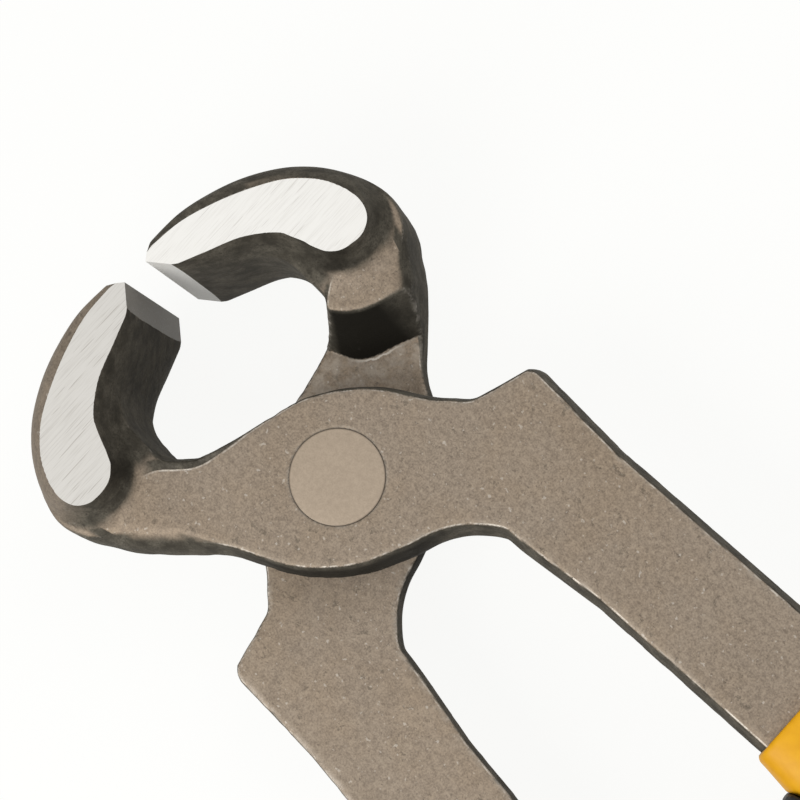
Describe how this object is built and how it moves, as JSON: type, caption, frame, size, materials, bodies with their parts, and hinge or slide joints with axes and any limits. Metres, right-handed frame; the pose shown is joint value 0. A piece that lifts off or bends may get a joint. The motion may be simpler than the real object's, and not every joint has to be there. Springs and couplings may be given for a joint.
{
  "type": "end cutting nippers",
  "caption": "Carpenter's end cutting nippers: forged half-lap levers on a flush rivet, hooked jaws with ground cheeks, two-part moulded grips.",
  "frame": {"origin": "on the pivot axis, at the flat back of the riveted joint", "axes": "+X along the tool towards the jaws, +Z along the rivet from the rear lever to the front lever"},
  "size_m": [0.2028, 0.0726, 0.024],
  "materials": {
    "forged_steel": "blasted forging with dark oxide on the walls and bright ground cheeks",
    "rivet_steel": "ground flush, satin",
    "grip_yellow": "moulded, semi-gloss",
    "grip_black": "soft matt overmould"
  },
  "bodies": {
    "rear_half": {"rear_lever": "forged_steel", "pivot_rivet": "rivet_steel", "rear_grip_sleeve": "grip_yellow", "rear_finger_pad": "grip_black", "rear_palm_pad": "grip_black"},
    "front_half": {"front_lever": "forged_steel", "front_grip_sleeve": "grip_yellow", "front_finger_pad": "grip_black", "front_palm_pad": "grip_black"}
  },
  "joints": [
    {"name": "lever_pivot", "type": "hinge", "parent": "rear_half", "child": "front_half", "pos_m": [0, 0, 0.007], "axis": [0, 0, 1], "range_deg": [-5.3, 30]}
  ]
}
